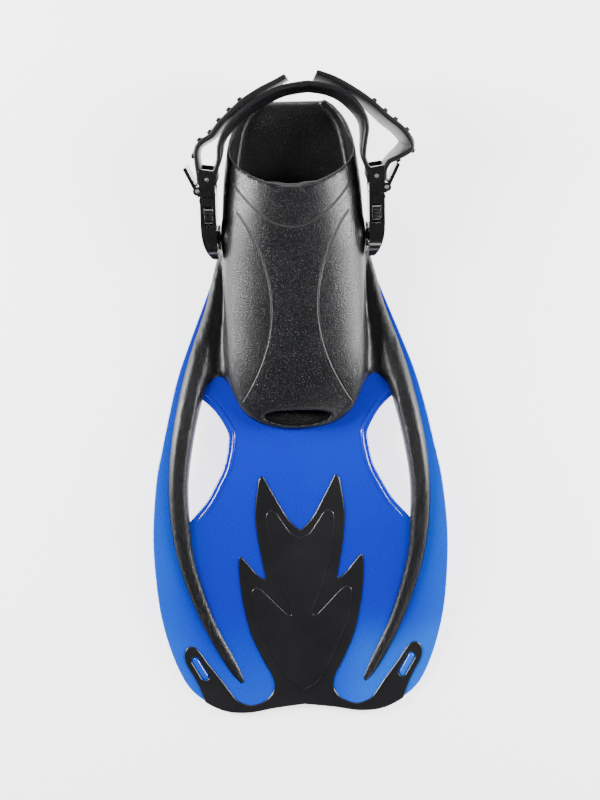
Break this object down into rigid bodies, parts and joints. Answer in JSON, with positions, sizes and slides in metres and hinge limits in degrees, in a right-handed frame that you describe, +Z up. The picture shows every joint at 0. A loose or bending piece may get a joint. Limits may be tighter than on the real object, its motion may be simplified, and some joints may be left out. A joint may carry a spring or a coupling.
{
  "type": "swim fin",
  "caption": "Open-heel swim fin: a vented blue blade with rubber foot pocket and rails, and an adjustable heel strap on swivelling quick-release buckles.",
  "frame": {"origin": "middle of the footprint, on the surface that the fin lies on, sole down", "axes": "+Y from the blade tip to the heel, along the fin; +X to the right seen from above with the tip nearest; +Z up out of the instep"},
  "size_m": [0.1888, 0.4054, 0.0636],
  "materials": {
    "blue_plastic": "glossy saturated blue thermoplastic, slightly translucent at the edges",
    "pocket_rubber": "black rubber with a fine speckled grain and a soft sheen",
    "insert_rubber": "smooth satin black rubber",
    "strap_rubber": "black strap rubber, smooth with moulded ridges",
    "buckle_plastic": "polished black moulded plastic",
    "steel": "stainless steel pins and springs"
  },
  "bodies": {
    "fin": {"blade": "blue_plastic", "foot_pocket": "pocket_rubber", "tip_insert": "insert_rubber", "left_rail": "pocket_rubber", "left_post": "buckle_plastic", "left_post_cap": "buckle_plastic", "right_rail": "pocket_rubber", "right_post": "buckle_plastic", "right_post_cap": "buckle_plastic"},
    "strap_assembly": {"heel_strap": "strap_rubber", "left_receiver": "buckle_plastic", "left_buckle_frame": "buckle_plastic", "left_roller_pin": "steel", "left_lever_pin": "steel", "left_lever_spring": "steel", "right_receiver": "buckle_plastic", "right_buckle_frame": "buckle_plastic", "right_roller_pin": "steel", "right_lever_pin": "steel", "right_lever_spring": "steel"},
    "left_upper_button": {"left_squeeze_arm_upper": "buckle_plastic"},
    "left_lower_button": {"left_squeeze_arm_lower": "buckle_plastic"},
    "left_lever_tab": {"left_lever": "buckle_plastic"},
    "left_strap_roller": {"left_roller": "steel"},
    "right_upper_button": {"right_squeeze_arm_upper": "buckle_plastic"},
    "right_lower_button": {"right_squeeze_arm_lower": "buckle_plastic"},
    "right_lever_tab": {"right_lever": "buckle_plastic"},
    "right_strap_roller": {"right_roller": "steel"}
  },
  "joints": [
    {"name": "strap_swing", "type": "hinge", "parent": "fin", "child": "strap_assembly", "pos_m": [0, 0.10268, 0.026], "axis": [1, 0, 0], "range_deg": [-3, 75]},
    {"name": "left_upper_squeeze", "type": "hinge", "parent": "strap_assembly", "child": "left_upper_button", "pos_m": [-0.05, 0.12557, 0.04104], "axis": [1, 0, 0], "range_deg": [0, 14], "stiffness_Nm_per_rad": 0.3},
    {"name": "left_lower_squeeze", "type": "hinge", "parent": "strap_assembly", "child": "left_lower_button", "pos_m": [-0.05, 0.13003, 0.02442], "axis": [-1, 0, 0], "range_deg": [0, 14], "stiffness_Nm_per_rad": 0.3},
    {"name": "left_lever_lift", "type": "hinge", "parent": "strap_assembly", "child": "left_lever_tab", "pos_m": [-0.0587, 0.13263, 0.03402], "axis": [0, -0.2588, 0.9659], "range_deg": [0, 40], "stiffness_Nm_per_rad": 0.05},
    {"name": "left_roller_spin", "type": "hinge", "parent": "strap_assembly", "child": "left_strap_roller", "pos_m": [-0.0525, 0.13939, 0.03583], "axis": [0, -0.2588, 0.9659], "continuous": true},
    {"name": "right_upper_squeeze", "type": "hinge", "parent": "strap_assembly", "child": "right_upper_button", "pos_m": [0.05, 0.12557, 0.04104], "axis": [1, 0, 0], "range_deg": [0, 14], "stiffness_Nm_per_rad": 0.3},
    {"name": "right_lower_squeeze", "type": "hinge", "parent": "strap_assembly", "child": "right_lower_button", "pos_m": [0.05, 0.13003, 0.02442], "axis": [-1, 0, 0], "range_deg": [0, 14], "stiffness_Nm_per_rad": 0.3},
    {"name": "right_lever_lift", "type": "hinge", "parent": "strap_assembly", "child": "right_lever_tab", "pos_m": [0.0587, 0.13263, 0.03402], "axis": [0, 0.2588, -0.9659], "range_deg": [0, 40], "stiffness_Nm_per_rad": 0.05},
    {"name": "right_roller_spin", "type": "hinge", "parent": "strap_assembly", "child": "right_strap_roller", "pos_m": [0.0525, 0.13939, 0.03583], "axis": [0, -0.2588, 0.9659], "continuous": true}
  ]
}
